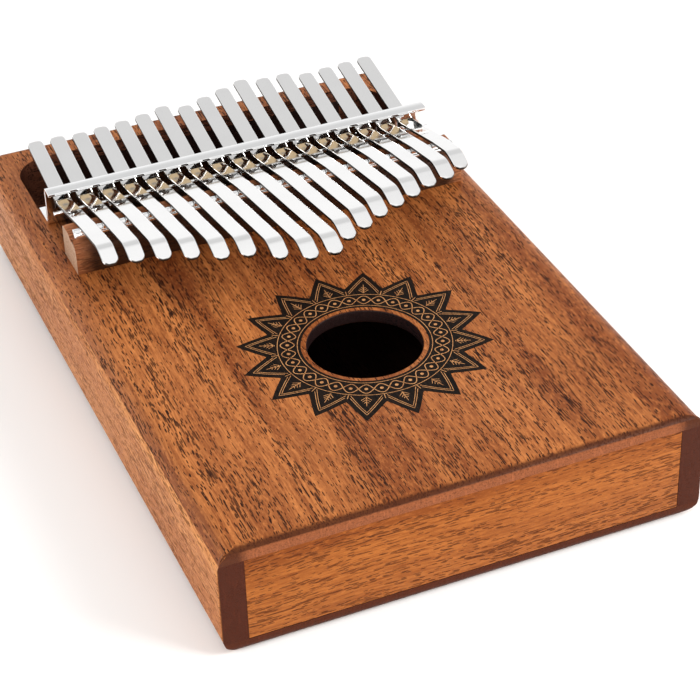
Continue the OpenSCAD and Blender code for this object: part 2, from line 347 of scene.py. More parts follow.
def wood(name, light, dark, pore, end_grain, axis=1, offset=(0.0, 0.0, 0.0), pore_amount=1.0,
         band=None, painted_shade_y=None):
    """Open-grained hardwood with streaks, ribbon figure, fibre, dark pore dashes and its own end grain.

    axis is the way the grain runs. band is the colour of rounded edges where it turns to end grain.
    The last argument holds the Y where painted shade under the tines starts and where it is fully dark.
    """
    s = Shader(name)
    # a slow sideways drift, so that the grain lines are not ruler straight
    place = s.drifted(s.coordinates((1.0, 1.0, 1.0), offset), axis)

    def grain(fine, long, shift=0.0):
        return s.scaled(place, along(axis, fine, long), shift)

    streak = s.noise(grain(0.10, 0.005), 4.0, 0.6)
    ribbon = s.noise(grain(0.045, 0.016, 11.0), 2.0, 0.5, 0.8)
    line = s.noise(grain(0.85, 0.014, 5.0), 3.0, 0.6)
    fibre = s.noise(grain(2.0, 0.10), 5.0, 0.7)
    fleck = s.noise(grain(1.4, 0.40, 3.0), 4.0, 0.7)
    pale = tuple(min(1.0, c * 1.35) for c in light)
    color = s.mix(s.ramp(streak, 0.36, 0.64), light, dark)
    color = s.mix(s.ramp(ribbon, 0.42, 0.66, 0.0, 0.35), color, light)
    color = s.mix(s.ramp(line, 0.45, 0.70, 0.0, 0.65), color, dark)
    color = s.mix(s.ramp(fibre, 0.40, 0.68, 0.0, 0.85), color, dark)
    color = s.mix(s.ramp(fleck, 0.46, 0.76, 0.0, 0.5), color, pale)

    # pores: spots stretched along the grain, larger where the density is high
    pore_edge = 0.03
    density = s.noise(grain(0.22, 0.016, 2.0), 3.0, 0.6)
    limit = s.ramp(density, 0.3, 0.68, 0.17, 0.41)
    short = s.cells(grain(1.8, 0.32))
    long = s.cells(grain(1.6, 0.11, 7.3))
    short_pore = s.ramp(s.math("SUBTRACT", limit, short), -pore_edge, pore_edge)
    long_limit = s.math("MULTIPLY", limit, 0.85)
    long_pore = s.ramp(s.math("SUBTRACT", long_limit, long), -pore_edge, pore_edge)
    pores = s.math("MAXIMUM", short_pore, long_pore)
    tone = s.noise(grain(0.9, 0.2, 4.0), 2.0)
    pore_strength = s.ramp(tone, 0.3, 0.7, 0.65 * pore_amount, pore_amount)
    pore_shade = s.math("MULTIPLY", pores, pore_strength)
    color = s.mix(pore_shade, color, pore)

    # end grain where the surface faces along the grain
    split = s.nodes.new("ShaderNodeSeparateXYZ")
    s.link(s.normal(), split.inputs["Vector"])
    facing = s.math("ABSOLUTE", split.outputs[axis])
    end = s.ramp(facing, 0.5, 0.93)
    speckle = s.noise(s.coordinates((2.2, 2.2, 2.2), offset), 3.0, 0.7)
    rays = s.noise(s.coordinates((1.6, 1.6, 0.25), offset), 3.0, 0.6)
    end_color = s.mix(s.ramp(speckle, 0.45, 0.75, 0.0, 0.6), end_grain, pore)
    end_pale = tuple(c * 1.45 for c in end_grain)
    end_color = s.mix(s.ramp(rays, 0.5, 0.75, 0.0, 0.6), end_color, end_pale)
    color = s.mix(end, color, end_color)
    if band is not None:
        rising = s.ramp(facing, 0.10, 0.45)
        falling = s.ramp(facing, 0.70, 0.97, 1.0, 0.0)
        color = s.mix(s.math("MULTIPLY", s.math("MULTIPLY", rising, falling), 0.9), color, band)
    # painted shade: wood under the tines, behind the front of the bridge and before the sill, is darkened
    # towards near black in place of their shadow
    if painted_shade_y is not None:
        start, full = painted_shade_y
        spot = s.nodes.new("ShaderNodeSeparateXYZ")
        s.link(s.coordinates((1.0, 1.0, 1.0)), spot.inputs["Vector"])
        behind_bridge = s.ramp(spot.outputs["Y"], start, full)
        before_sill = s.ramp(spot.outputs["Y"], SILL_LOW.y, SILL_LOW.y + 3.0, 1.0, 0.0)
        off_middle = s.math("ABSOLUTE", spot.outputs["X"])
        within = s.ramp(off_middle, BRIDGE_HIGH.x - 6.0, BRIDGE_HIGH.x, 1.0, 0.0)
        painted_shade_under_tines = s.math("MULTIPLY", s.math("MULTIPLY", behind_bridge, before_sill), within)
        color = s.mix(s.math("MULTIPLY", painted_shade_under_tines, 0.88), color, srgb(26, 12, 6))
        # the end grain is darkest at the rounded corners
        corner = s.ramp(off_middle, INNER_HALF_W - 2.0, INNER_HALF_W + 2.0)
        corner_end = s.math("MULTIPLY", corner, end)
        color = s.mix(s.math("MULTIPLY", corner_end, 0.85), color, srgb(60, 25, 10))
    s.link(color, s.bsdf.inputs["Base Color"])

    rough = s.ramp(fibre, 0.3, 0.8, 0.40, 0.55)
    rough = s.math("ADD", rough, s.math("MULTIPLY", pores, 0.2))
    s.link(rough, s.bsdf.inputs["Roughness"])
    s.bsdf.inputs["Specular IOR Level"].default_value = 0.12
    depth = s.math("SUBTRACT", s.math("MULTIPLY", fibre, 0.3), pores)
    s.link(s.bump(depth, 0.12, 0.8), s.bsdf.inputs["Normal"])
    return s.material


def metal(name, color, roughness, grain_axis=0, grain=0.004, spots=0.02):
    """Polished plated steel with faint drawing lines and small smudges."""
    s = Shader(name)
    s.bsdf.inputs["Metallic"].default_value = 1.0
    lines = s.noise(s.coordinates(along(grain_axis, 3.0, 0.03)), 3.0, 0.6)
    smudge = s.noise(s.coordinates((0.10, 0.10, 0.10)), 3.0, 0.55)
    shade = tuple(c * 0.95 for c in color)
    s.link(s.mix(s.ramp(smudge, 0.4, 0.75, 0.0, 0.5), color, shade), s.bsdf.inputs["Base Color"])
    s.link(s.ramp(smudge, 0.35, 0.75, roughness, roughness + spots), s.bsdf.inputs["Roughness"])
    s.link(s.bump(lines, grain, 0.25), s.bsdf.inputs["Normal"])
    return s.material


def burnt():
    """Scorched surface of the rosette: near black, with the wood's fibre still faintly there."""
    s = Shader("burnt_rosette")
    fibre = s.noise(s.coordinates((2.4, 0.1, 2.4)), 4.0, 0.6)
    char = s.noise(s.coordinates((0.9, 0.9, 0.9)), 4.0, 0.6)
    color = s.mix(s.ramp(fibre, 0.35, 0.75), srgb(14, 11, 9), srgb(36, 26, 20))
    color = s.mix(s.ramp(char, 0.5, 0.8, 0.0, 0.5), color, srgb(46, 31, 22))
    s.link(color, s.bsdf.inputs["Base Color"])
    s.link(s.ramp(char, 0.3, 0.7, 0.55, 0.75), s.bsdf.inputs["Roughness"])
    s.bsdf.inputs["Specular IOR Level"].default_value = 0.06
    s.link(s.bump(fibre, 0.05, 0.5), s.bsdf.inputs["Normal"])
    return s.material


def bare_line():
    """The unburnt wood that draws the lines of the rosette."""
    s = Shader("rosette_bare_wood")
    fibre = s.noise(s.coordinates((2.0, 0.12, 2.0)), 4.0, 0.6)
    color = s.mix(s.ramp(fibre, 0.35, 0.75), srgb(196, 142, 92), srgb(140, 90, 54))
    s.link(color, s.bsdf.inputs["Base Color"])
    s.bsdf.inputs["Roughness"].default_value = 0.6
    s.bsdf.inputs["Specular IOR Level"].default_value = 0.15
    s.link(s.bump(fibre, 0.05, 0.4), s.bsdf.inputs["Normal"])
    return s.material


# ---------- materials ----------

# the top and the bridge carry painted shade under the tines, set by their last argument
TOP_WOOD = wood("mahogany_top", srgb(190, 118, 63), srgb(116, 58, 25), srgb(40, 16, 6),
                srgb(140, 80, 48), axis=1, band=srgb(64, 28, 10),
                painted_shade_y=(BRIDGE_HIGH.y - 1.0, BRIDGE_HIGH.y + 0.5))
SIDE_WOOD = wood("mahogany_side", srgb(220, 154, 94), srgb(166, 98, 50), srgb(64, 28, 10),
                 srgb(68, 27, 10), axis=1, offset=(13.0, 5.0, 2.0), pore_amount=0.75)
PANEL_WOOD = wood("mahogany_panel", srgb(166, 97, 42), srgb(122, 61, 20), srgb(66, 26, 8),
                  srgb(100, 48, 22), axis=0, offset=(3.0, 21.0, 8.0), pore_amount=0.8)
UNDER_WOOD = wood("mahogany_bottom", srgb(172, 106, 58), srgb(130, 72, 36), srgb(50, 22, 8),
                  srgb(76, 32, 12), axis=1, offset=(31.0, 9.0, 4.0), band=srgb(56, 22, 8))
# mahogany coloured darker than the top, as painted shade for the pocket's walls and floor
POCKET_SHADE_WOOD = wood("mahogany_block_painted_shade", srgb(118, 72, 52), srgb(76, 42, 30), srgb(34, 16, 10),
                  srgb(66, 34, 24), axis=0, offset=(5.0, 2.0, 17.0))
# painted shade: the inner faces of the box and the wall of the sound hole get near-black wood in place of
# the shade inside
INSIDE_SHADE = wood("inside_painted_shade", srgb(52, 30, 24), srgb(30, 17, 14), srgb(12, 7, 6), srgb(34, 18, 14),
                   axis=1, offset=(2.0, 6.0, 1.0))
HOLE_WALL_SHADE = wood("hole_wall_shade", srgb(44, 26, 25), srgb(26, 15, 16), srgb(12, 6, 7), srgb(34, 20, 19),
                 axis=1, offset=(9.0, 6.0, 1.0))
BRIDGE_WOOD = wood("bridge_hardwood", srgb(186, 126, 86), srgb(140, 82, 50), srgb(66, 32, 16),
                   srgb(226, 184, 152), axis=0, offset=(1.0, 14.0, 6.0), pore_amount=0.6,
                   painted_shade_y=(BRIDGE_LOW.y + 5.0, ROD_LOW.y + 1.0))
SILL_WOOD = wood("sill_hardwood", srgb(70, 44, 32), srgb(48, 28, 20), srgb(28, 14, 10),
                 srgb(60, 36, 26), axis=0, offset=(4.0, 1.0, 3.0))
TINE_STEEL = metal("tine_steel", (0.95, 0.945, 0.94), 0.07, grain_axis=1)
# rougher sheared steel, coloured near black as painted shade for the dark outlines along the tines
TINE_EDGE_SHADE = metal("tine_sheared_edge_and_shade", (0.09, 0.085, 0.08), 0.30, grain_axis=2, grain=0.02,
                  spots=0.15)
BRACKET_CHROME = metal("bracket_chrome", (0.93, 0.93, 0.93), 0.05)
ROD_CHROME = metal("rod_chrome", (0.90, 0.90, 0.90), 0.06)
SCREW_STEEL = metal("screw_steel", (0.55, 0.56, 0.58), 0.25, grain_axis=2, grain=0.02, spots=0.1)
BURNT = burnt()
BARE_LINE = bare_line()


def finish_piece(obj, material, body, slot, *nodes):
    """Gives a rigid piece its material and body, and hides the CAD nodes it replaces. The slot argument is
    not used.
    """
    obj.data.materials.clear()
    obj.data.materials.append(material)
    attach(obj, body)
    if nodes:
        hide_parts(*nodes)


# ---------- the wooden body ----------

def body_blank():
    """The body's whole outside as a bmesh, with its long edges, short edges and corners rounded."""
    work = bmesh.new()
    bmesh.ops.create_cube(work, size=1.0)
    size = Vector((2 * HALF_W, BACK_Y - FRONT_Y, BODY_TOP))
    for v in work.verts:
        v.co = Vector((v.co.x * size.x, v.co.y * size.y, (v.co.z + 0.5) * size.z)) * MM
    layer = work.edges.layers.float.new("bevel_weight_edge")
    for edge in work.edges:
        d = (edge.verts[0].co - edge.verts[1].co).normalized()
        at_rear = edge.verts[0].co.y > 0
        upright_r = REAR_CORNER_R if at_rear else CORNER_R
        radius = LONG_EDGE_R if abs(d.y) > 0.5 else SHORT_EDGE_R if abs(d.x) > 0.5 else upright_r
        edge[layer] = radius / LONG_EDGE_R
    mesh = bpy.data.meshes.new("body_blank")
    work.to_mesh(mesh)
    work.free()
    obj = add_object("body_blank", mesh)
    modifier = obj.modifiers.new("rounding", "BEVEL")
    modifier.limit_method = "WEIGHT"
    modifier.width = LONG_EDGE_R * MM
    modifier.segments = 10
    apply_modifiers(obj)
    blank = bmesh.new()
    blank.from_mesh(obj.data)
    bpy.data.objects.remove(obj)
    return blank


def body_piece(name, blank, planes):
    """A board cut out of the body blank by planes, each a point and an outward normal."""
    work = blank.copy()
    for point, normal in planes:
        keep_side(work, Vector(point) * MM, Vector(normal))
    mesh = bpy.data.meshes.new(name)
    work.to_mesh(mesh)
    work.free()
    obj = add_object(name, mesh)
    tidy_mesh(obj)
    return obj


def pocket_outline():
    """Plan of the rear pocket: square at the bracket, with two round rear corners."""
    x, back, r = INNER_HALF_W, BACK_LOW.y, POCKET_R
    points = [(-x, POCKET_FRONT_Y), (x, POCKET_FRONT_Y)]
    points += arc_points((x - r, back - r), r, 0, 90, 16)
    points += arc_points((-x + r, back - r), r, 90, 180, 16)
    return points


def hole_cutter():
    """A turned cutter for the sound hole, with a small rounding at the top and bottom rims."""
    rim = 0.5
    low, high = TOP_LOW.z, BODY_TOP
    profile = [(HOLE_R + rim + 1.0, low - 1.0), (HOLE_R + rim, low)]
    for turn in (30, 60, 90):
        a = math.radians(turn)
        profile.append((HOLE_R + rim - rim * math.sin(a), low + rim - rim * math.cos(a)))
    for turn in (0, 22.5, 45, 67.5, 90):
        a = math.radians(turn)
        profile.append((HOLE_R + rim - rim * math.cos(a), high - rim + rim * math.sin(a)))
    profile += [(HOLE_R + rim + 0.2, high + 1.0)]
    return lathe("hole_cutter", profile, 128, (0.0, HOLE_Y))


def lathe(name, profile, steps, centre):
    """A closed turned solid about a vertical axis, from (radius, z) points."""
    verts = []
    for k in range(steps):
        a = 2 * math.pi * k / steps
        verts += [(centre[0] + r * math.cos(a), centre[1] + r * math.sin(a), z) for r, z in profile]
    n = len(profile)
    faces = []
    for k in range(steps):
        a, b = k * n, ((k + 1) % steps) * n
        faces += [(a + j, b + j, b + j + 1, a + j + 1) for j in range(n - 1)]
    faces.append(tuple(k * n for k in range(steps)))
    faces.append(tuple(k * n + n - 1 for k in reversed(range(steps))))
    return mesh_object(name, verts, faces)


def assign_inside(obj, material, inside):
    """Gives the faces for which inside(centre, normal) holds a second material."""
    obj.data.materials.append(material)
    slot_index = len(obj.data.materials) - 1
    for face in obj.data.polygons:
        if inside(face.center / MM, face.normal):
            face.material_index = slot_index


def make_body():
    blank = body_blank()
    above = ((0, 0, TOP_LOW.z), (0, 0, -1))
    under_top = ((0, 0, TOP_LOW.z), (0, 0, 1))
    over_bottom = ((0, 0, PANEL_LOW.z), (0, 0, -1))
    below = ((0, 0, PANEL_LOW.z), (0, 0, 1))
    left_in = ((-INNER_HALF_W, 0, 0), (-1, 0, 0))
    right_in = ((INNER_HALF_W, 0, 0), (1, 0, 0))

    top = body_piece("top_board_wood", blank, [above])
    cut(top, hole_cutter())
    cut(top, prism("pocket_cutter", pocket_outline(), TOP_LOW.z - 1, BODY_TOP + 1))
    finish_piece(top, TOP_WOOD, "box", "body_wood", "top_board")

    def hole_wall_shade(c, n):
        return math.hypot(c.x, c.y - HOLE_Y) < HOLE_R + 0.4 and abs(n.z) < 0.6

    def pocket_wall(c, n):
        within = abs(c.x) < INNER_HALF_W + 0.1 and POCKET_FRONT_Y - 0.5 < c.y < BACK_LOW.y + 0.1
        return within and abs(n.z) < 0.5

    # painted shade on the hole wall, the pocket walls and the inner faces, through darker materials
    assign_inside(top, HOLE_WALL_SHADE, hole_wall_shade)
    assign_inside(top, POCKET_SHADE_WOOD, pocket_wall)
    assign_inside(top, INSIDE_SHADE, lambda c, n: n.z < -0.9 and c.z < TOP_LOW.z + 0.1)

    bottom = body_piece("bottom_board_wood", blank, [below])
    finish_piece(bottom, UNDER_WOOD, "box", "body_wood", "bottom_board")
    assign_inside(bottom, INSIDE_SHADE, lambda c, n: n.z > 0.9 and c.z > PANEL_LOW.z - 0.1)

    for node, sign in (("left_side", -1), ("right_side", 1)):
        inner = ((sign * INNER_HALF_W, 0, 0), (-sign, 0, 0))
        side = body_piece(f"{node}_wood", blank, [over_bottom, under_top, inner])
        finish_piece(side, SIDE_WOOD, "box", "side_wood", node)
        assign_inside(side, INSIDE_SHADE, lambda c, n, sign=sign: n.x * sign < -0.9)

    for node, inner_y, sign in (("front_panel", PANEL_HIGH.y, -1), ("back_panel", BACK_LOW.y, 1)):
        inner = ((0, inner_y, 0), (0, -sign, 0))
        panel = body_piece(f"{node}_wood", blank, [over_bottom, under_top, left_in, right_in, inner])
        bevel(panel, PANEL_EDGE, 2)
        finish_piece(panel, PANEL_WOOD, "box", "panel_wood", node)
        assign_inside(panel, INSIDE_SHADE, lambda c, n, sign=sign: n.y * sign < -0.9)
    blank.free()


def make_block():
    """The solid block under the bracket, with the pocket's floor and walls."""
    x, z0, z1 = BLOCK_HIGH.x, BLOCK_LOW.z, BLOCK_HIGH.z
    outline = [(-x, BLOCK_LOW.y), (x, BLOCK_LOW.y), (x, BLOCK_HIGH.y), (-x, BLOCK_HIGH.y)]
    block = prism("clamp_block_wood", outline, z0, z1)
    cut(block, prism("pocket_cutter", pocket_outline(), POCKET_FLOOR_Z, BODY_TOP + 1))
    finish_piece(block, POCKET_SHADE_WOOD, "box", "block_wood", "clamp_block")


# ---------- rosette around the sound hole ----------

PETALS = 16
HALF_PETAL = math.pi / PETALS
RING_R = 17.3
VALLEY_R = 27.0
PETAL_TIP_R = 34.7
BURN_LOW, BURN_HIGH = BODY_TOP - 0.05, BODY_TOP + 0.02
LINE_HIGH = BODY_TOP + 0.035


def polar(r, angle):
    """The point at a radius and an angle round the sound hole."""
    return (r * math.cos(angle), HOLE_Y + r * math.sin(angle))


def petal_edge(share):
    """Outer radius of the rosette, from a petal's axis (0) to the valley beside it (1)."""
    return VALLEY_R + (PETAL_TIP_R - VALLEY_R) * (1 - share) ** 1.2


def make_burn():
    """The burnt field of the rosette, one closed flat plate."""
    steps, radial = 12, 6
    count = 2 * PETALS * steps
    verts, faces = [], []
    for k in range(count):
        turn = (k / steps) % 2
        outer = petal_edge(min(turn, 2 - turn))
        for z in (BURN_HIGH, BURN_LOW):
            for j in range(radial + 1):
                x, y = polar(RING_R + (outer - RING_R) * j / radial, HALF_PETAL * k / steps)
                verts.append((x, y, z))
    low = radial + 1
    for k in range(count):
        a, b = 2 * low * k, 2 * low * ((k + 1) % count)
        for j in range(radial):
            faces.append((a + j, a + j + 1, b + j + 1, b + j))
            faces.append((a + low + j, b + low + j, b + low + j + 1, a + low + j + 1))
        faces.append((a, b, b + low, a + low))
        faces.append((a + radial, a + low + radial, b + low + radial, b + radial))
    finish_piece(mesh_object("rosette_burn", verts, faces), BURNT, "box", "body_wood")


class Lines:
    """Collects flat strokes and dots of one closed mesh."""

    def __init__(self):
        self.verts = []
        self.faces = []

    def stroke(self, points, width, closed=False):
        """A flat band along points, of one width or of one width for each point."""
        n = len(points)
        sides = []
        for k, (x, y) in enumerate(points):
            before = points[k - 1] if closed or k > 0 else points[k]
            after = points[(k + 1) % n] if closed or k < n - 1 else points[k]
            dx, dy = after[0] - before[0], after[1] - before[1]
            length = math.hypot(dx, dy) or 1.0
            w = width[k] / 2 if isinstance(width, list) else width / 2
            sides.append((-dy / length * w, dx / length * w))
        base = len(self.verts)
        for (x, y), (nx, ny) in zip(points, sides):
            self.verts += [(x + nx, y + ny, LINE_HIGH), (x - nx, y - ny, LINE_HIGH),
                           (x - nx, y - ny, BURN_LOW), (x + nx, y + ny, BURN_LOW)]
        last = n if closed else n - 1
        for k in range(last):
            a, b = base + 4 * k, base + 4 * ((k + 1) % n)
            for j in range(4):
                self.faces.append((a + j, b + j, b + (j + 1) % 4, a + (j + 1) % 4))
        if not closed:
            self.faces.append((base, base + 1, base + 2, base + 3))
            end = base + 4 * (n - 1)
            self.faces.append((end + 3, end + 2, end + 1, end))

    def dot(self, x, y, radius, steps=12):
        base = len(self.verts)
        ring = arc_points((x, y), radius, 0, 360, steps)[:-1]
        self.verts += [(px, py, LINE_HIGH) for px, py in ring] + [(px, py, BURN_LOW) for px, py in ring]
        self.faces.append(tuple(range(base, base + steps)))
        self.faces.append(tuple(range(base + 2 * steps - 1, base + steps - 1, -1)))
        for k in range(steps):
            m = (k + 1) % steps
            self.faces.append((base + k, base + steps + k, base + steps + m, base + m))


def off_axis(axis, r, side):
    """A point at a radius along a petal's axis, moved sideways in millimetres."""
    x, y = polar(r, axis)
    return (x - side * math.sin(axis), y + side * math.cos(axis))


def ring_line(wave_r, wave_height, turns, steps=256):
    """A closed line round the hole, with a wave of a height and a number of turns."""
    points = []
    for k in range(steps):
        angle = 2 * math.pi * k / steps
        points.append(polar(wave_r + wave_height * math.cos(turns * angle), angle))
    return points


def make_lines():
    """The light lines of the rosette: two crossing waves between two rings, and veined leaves outside."""
    lines = Lines()
    inner_r, chain_r, outer_r = 18.2, 20.9, 23.6
    chain_height = 1.9
    rib_r, rib_l, veins_end_r = 24.3, 4.2, 28.3
    fine, wide = 0.17, 0.24
    for radius in (inner_r, outer_r):
        lines.stroke(ring_line(radius, 0.0, 0), 0.18, closed=True)
    for height in (chain_height, -chain_height):
        lines.stroke(ring_line(chain_r, height, PETALS), wide, closed=True)
    for p in range(PETALS):
        axis = 2 * math.pi * p / PETALS
        between = axis + HALF_PETAL
        for angle in (axis, between):
            lines.dot(*polar(chain_r, angle), 0.5)
        lines.stroke([polar(outer_r, between), polar(outer_r + 2.0, between)], 0.2)
        # a leaf line that keeps its distance from the petal's edge
        leaf_steps = 16
        for inset in (2.5, 3.5):
            leaf = []
            for k in range(-leaf_steps, leaf_steps + 1):
                share = 0.86 * k / leaf_steps
                edge = max(petal_edge(abs(share)) - inset, outer_r + 0.6)
                leaf.append(polar(edge, axis + HALF_PETAL * share))
            lines.stroke(leaf, fine)
        # its midrib, thinner towards the tip, and short veins that lean outwards
        rib = [polar(rib_r + rib_l * k / 6, axis) for k in range(7)]
        lines.stroke(rib, [0.42 - 0.05 * k for k in range(7)])
        for side in (-1, 1):
            for root in (24.5, 25.5, 26.5):
                reach = (veins_end_r - root) * 0.36
                ends = [off_axis(axis, root, 0.0), off_axis(axis, root + reach, side * reach)]
                lines.stroke(ends, 0.16)
    obj = mesh_object("rosette_lines", lines.verts, lines.faces)
    finish_piece(obj, BARE_LINE, "box", "body_wood")


# ---------- bridge, rods, bracket, sill and screws ----------

def rod(name, low, high, end_chamfer=0.35, steps=40):
    """A round rod along X between two corners of a box, with chamfered ends."""
    r = (high.z - low.z) / 2
    cy, cz = (low.y + high.y) / 2, (low.z + high.z) / 2
    stations = [(low.x, r - end_chamfer), (low.x + 0.12 * end_chamfer, r - 0.6 * end_chamfer),
                (low.x + 0.5 * end_chamfer, r - 0.15 * end_chamfer), (low.x + end_chamfer, r)]
    length = high.x - low.x
    inner = [(low.x + length * k / 12, r) for k in range(1, 12)]
    stations = stations + inner + [(low.x + high.x - x, radius) for x, radius in reversed(stations)]
    verts, faces = [], []
    for x, radius in stations:
        ring = arc_points((cy, cz), radius, 0, 360, steps)[:-1]
        verts += [(x, y, z) for y, z in ring]
    for s in range(len(stations) - 1):
        for k in range(steps):
            a, b = s * steps, (s + 1) * steps
            faces.append((a + k, a + (k + 1) % steps, b + (k + 1) % steps, b + k))
    faces.append(tuple(range(steps)))
    faces.append(tuple(reversed(range(len(verts) - steps, len(verts)))))
    return mesh_object(name, verts, faces)


def make_rods():
    bridge_rod = rod("bridge_rod_steel", ROD_LOW, ROD_HIGH)
    rest_rod = rod("rest_rod_steel", REST_LOW, REST_HIGH, 0.2, 24)
    finish_piece(bridge_rod, ROD_CHROME, "box", "chrome_rod", "bridge_rod")
    finish_piece(rest_rod, ROD_CHROME, "box", "chrome_rod", "rest_rod")


def make_bridge():
    """The wooden bridge: rounded front shoulder, groove for the rod, eased back edge."""
    front, back = BRIDGE_LOW.y, BRIDGE_HIGH.y
    low, high = BODY_TOP, BRIDGE_HIGH.z
    shoulder_r, back_cut = 4.2, 0.8
    dip = math.degrees(math.asin((ROD_Z - high) / ROD_R))
    section = [(front, low)]
    section += arc_points((front + shoulder_r, high - shoulder_r), shoulder_r, 180, 90, 10)[:-1]
    section += arc_points((ROD_Y, ROD_Z), ROD_R, 180 + dip, 360 - dip, 12)
    section += [(back - back_cut, high), (back, high - back_cut), (back, low)]
    bridge = extrude_x("bridge_wood", section, BRIDGE_HIGH.x)
    bevel(bridge, 0.3, 2, 50)
    finish_piece(bridge, BRIDGE_WOOD, "box", "bridge_wood", "bridge")


def sheet_path():
    """Centre line of the bracket's sheet in (y, z) with headings, from its rear foot to its lip."""
    t = SHEET_T
    foot_r, top_r = 1.0, 1.5
    foot_z, top_z = BODY_TOP + t / 2, BRACKET_HIGH.z - t / 2
    path = [((BRACKET_HIGH.y, foot_z), 180.0), ((WEB_Y + foot_r + 2.0, foot_z), 180.0)]
    foot_bend = arc_points((WEB_Y + foot_r, foot_z + foot_r), foot_r, 270, 180, 6)
    path += [(point, 180.0 - 90.0 * k / 6) for k, point in enumerate(foot_bend)]
    stops = [foot_z + foot_r + 1.0, SLOT_LOW_Z, SLOT_LOW_Z + 0.6, SLOT_HIGH_Z - 0.5, SLOT_HIGH_Z]
    path += [((WEB_Y, z), 90.0) for z in stops]
    top_bend = arc_points((WEB_Y - top_r, top_z - top_r), top_r, 0, 90, 8)
    path += [(point, 90.0 + 90.0 * k / 8) for k, point in enumerate(top_bend)]
    # the lip curls down a little more towards its edge
    lip_turn_deg, steps = 16.0, 8
    run = (path[-1][0][0] - LIP_Y) / steps
    for k in range(steps):
        (y, z), _ = path[-1]
        drop = run * math.tan(math.radians(lip_turn_deg) * (k + 0.5) / steps)
        path.append(((y - run, z - drop), 180.0 + lip_turn_deg * (k + 1) / steps))
    return path


def tine_x(i):
    return JOINTS[f"tine_{i}_flex"][0]


def make_bracket():
    """The folded sheet: a grid over its path and width, with open slots and walls round them."""
    path = sheet_path()
    half, near = BRACKET_HIGH.x, 0.01
    ends = (0.0, 0.3, 0.9, 1.6)
    xs = [d - half for d in ends]
    for i in range(1, TINES + 1):
        xs += [tine_x(i) - SLOT_HALF_W, tine_x(i), tine_x(i) + SLOT_HALF_W]
    xs += [half - d for d in reversed(ends)]

    def in_slot(k):
        (y, z), (_, next_z) = path[k][0], path[k + 1][0]
        return abs(y - WEB_Y) < near and SLOT_LOW_Z - near < z < next_z < SLOT_HIGH_Z + near

    slot_rows = [k for k in range(len(path) - 1) if in_slot(k)]
    slot_columns = {c for i in range(TINES) for c in (len(ends) + 3 * i, len(ends) + 3 * i + 1)}

    def solid(row, column):
        inside = 0 <= row < len(path) - 1 and 0 <= column < len(xs) - 1
        return inside and not (row in slot_rows and column in slot_columns)

    verts, faces, index = [], [], {}

    def corner(row, column, side):
        key = (row, column, side)
        if key not in index:
            (y, z), heading = path[row]
            a = math.radians(heading)
            d = side * SHEET_T / 2
            index[key] = len(verts)
            verts.append((xs[column], y - d * math.sin(a), z + d * math.cos(a)))
        return index[key]

    for row in range(len(path) - 1):
        for column in range(len(xs) - 1):
            if not solid(row, column):
                continue
            ring = [(row, column), (row, column + 1), (row + 1, column + 1), (row + 1, column)]
            faces.append(tuple(corner(r, c, 1) for r, c in ring))
            faces.append(tuple(corner(r, c, -1) for r, c in reversed(ring)))
            beside = [(row - 1, column), (row, column + 1), (row + 1, column), (row, column - 1)]
            for k, (r, c) in enumerate(beside):
                if not solid(r, c):
                    a, b = ring[k], ring[(k + 1) % 4]
                    faces.append((corner(*a, 1), corner(*a, -1), corner(*b, -1), corner(*b, 1)))
    bracket = mesh_object("bracket_sheet", verts, faces)
    bevel(bracket, 0.14, 2, 50)
    join([bracket, bracket_tongues()])
    finish_piece(bracket, BRACKET_CHROME, "box", "bracket_chrome", "bracket")


TONGUE_TINES = (3, 9, 15)
TONGUE_HALF_W = 1.8
TONGUE_T = 0.8


def bracket_tongues():
    """Three short tongues that run forwards under the rest rod, each with a chamfered front edge."""
    verts, faces = [], []
    rest_y = (REST_LOW.y + REST_HIGH.y) / 2
    top_z = REST_LOW.z - 0.12
    slope = math.tan(MID_RISE)
    flat, over, drop = 0.9, 1.2, 0.2
    rows = [(WEB_Y, top_z - slope * (WEB_Y - rest_y)), (rest_y - flat, top_z + slope * flat),
            (rest_y - over, top_z + slope * over - drop)]
    half = TONGUE_HALF_W
    for i in TONGUE_TINES:
        x = tine_x(i)
        base = len(verts)
        for y, z in rows:
            verts += [(x - half, y, z), (x + half, y, z)]
            verts += [(x + half, y, z - TONGUE_T), (x - half, y, z - TONGUE_T)]
        for row in range(len(rows) - 1):
            a = base + 4 * row
            faces += [(a + j, a + (j + 1) % 4, a + 4 + (j + 1) % 4, a + 4 + j) for j in range(4)]
        faces.append((base, base + 3, base + 2, base + 1))
        end = base + 4 * (len(rows) - 1)
        faces.append((end, end + 1, end + 2, end + 3))
    tongues = mesh_object("bracket_tongues", verts, faces)
    bevel(tongues, 0.15, 2)
    return tongues


def join(objects):
    """Joins the meshes of all the objects into the first one."""
    work = bmesh.new()
    for obj in objects:
        work.from_mesh(obj.data)
    work.to_mesh(objects[0].data)
    work.free()
    for obj in objects[1:]:
        bpy.data.objects.remove(obj)


def make_sill():
    """The hard strip behind the web, with a crowned top that the tines bear on."""
    y0, y1 = SILL_LOW.y, SILL_HIGH.y
    z0, z1 = SILL_LOW.z, SILL_HIGH.z
    section = [(y0, z0), (y1, z0)]
    crest, fall, steps = 0.36, 0.9, 10
    for k in range(steps + 1):
        share = k / steps
        section.append((y1 - (y1 - y0) * share, z1 - fall * (abs(share - crest) / (1 - crest)) ** 2))
    sill = extrude_x("rear_sill_wood", section, SILL_HIGH.x)
    bevel(sill, 0.2, 2, 50)
    finish_piece(sill, SILL_WOOD, "box", "sill_wood", "rear_sill")


